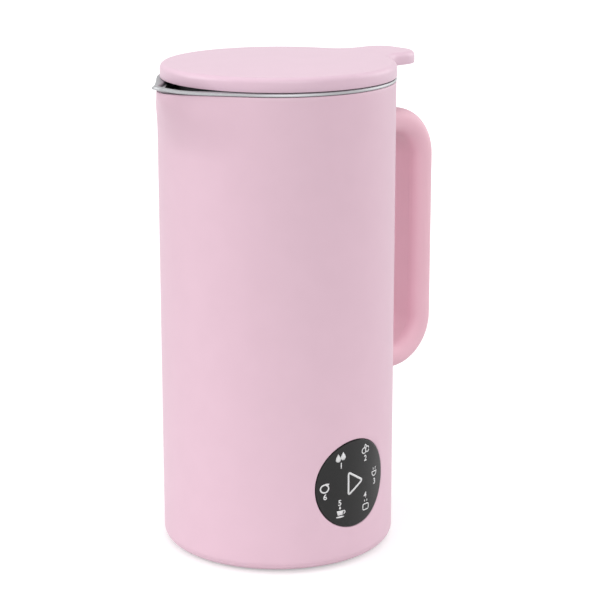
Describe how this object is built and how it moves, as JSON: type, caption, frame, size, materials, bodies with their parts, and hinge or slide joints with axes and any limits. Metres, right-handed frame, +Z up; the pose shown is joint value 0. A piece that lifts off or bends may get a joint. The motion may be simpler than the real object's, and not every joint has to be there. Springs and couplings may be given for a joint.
{
  "type": "soy milk maker",
  "caption": "Upright drink maker: round body with a loop handle and a touch panel, steel jug with a pouring spout, blades and heater in its floor, and a flat lift-off lid.",
  "frame": {"origin": "centre of the bottom cover's underside, on the body's axis. The feet stand 1 mm below it", "axes": "+Z up along the body's axis, +X towards the handle, -X towards the spout, -Y towards the touch panel"},
  "size_m": [0.1743, 0.1182, 0.2462],
  "materials": {
    "body_plastic": "soft satin, pale pink",
    "lid_plastic": "soft satin, paler pink",
    "panel_plastic": "smooth dark grey",
    "steel": "brushed",
    "dark_plastic": "matte",
    "white_plastic": "matte",
    "silicone": "matte",
    "iron": "bare, laminated",
    "copper": "copper, enamelled or bare",
    "brass": "machined",
    "aluminium": "cast",
    "board": "green circuit board",
    "carbon": "matte carbon"
  },
  "bodies": {
    "base": {"outer_shell": "body_plastic", "inner_jug": "steel", "blade_seat": "steel", "seat_nut": "brass", "shaft_seal": "silicone", "seat_bush": "brass", "heater_plate": "aluminium", "heater_tube": "aluminium", "thermostat": "dark_plastic", "temperature_probe": "steel", "motor_carrier": "white_plastic", "jug_nut_1": "steel", "jug_nut_2": "steel", "jug_nut_3": "steel", "motor_mount_1": "silicone", "motor_mount_2": "silicone", "motor_mount_3": "silicone", "upper_bracket": "aluminium", "lower_bracket": "dark_plastic", "brush_left": "carbon", "brush_right": "carbon", "lower_bearing": "steel", "upper_bearing": "steel", "stator_core": "iron", "field_coil_front": "copper", "field_coil_back": "copper", "motor_screw_left": "steel", "motor_screw_right": "steel", "bottom_cover": "dark_plastic", "cover_screw_1": "steel", "cover_screw_2": "steel", "cover_screw_3": "steel", "foot_1": "silicone", "foot_2": "silicone", "foot_3": "silicone", "power_board": "board", "power_inlet": "dark_plastic", "line_pin": "brass", "neutral_pin": "brass", "earth_pin": "brass", "control_panel": "panel_plastic", "panel_frame": "dark_plastic", "touch_board": "board", "handle_shell": "body_plastic", "handle_strip": "body_plastic", "handle_screw_upper": "steel", "handle_screw_lower": "steel", "lid_sensor": "board"},
    "lid": {"lid_cover": "lid_plastic", "lid_plate": "dark_plastic", "lid_seal": "silicone", "lid_magnet": "iron"},
    "rotor": {"motor_shaft": "steel", "rotor_core": "iron", "rotor_winding": "copper", "commutator": "copper", "cooling_fan": "white_plastic", "lower_blade": "steel", "upper_blade": "steel", "blade_nut": "steel"}
  },
  "joints": [
    {"name": "lid_lift", "type": "slide", "parent": "base", "child": "lid", "axis": [0, 0, 1], "range_m": [0, 0.04]},
    {"name": "shaft_spin", "type": "hinge", "parent": "base", "child": "rotor", "pos_m": [0, 0, 0.06], "axis": [0, 0, 1], "continuous": true}
  ]
}
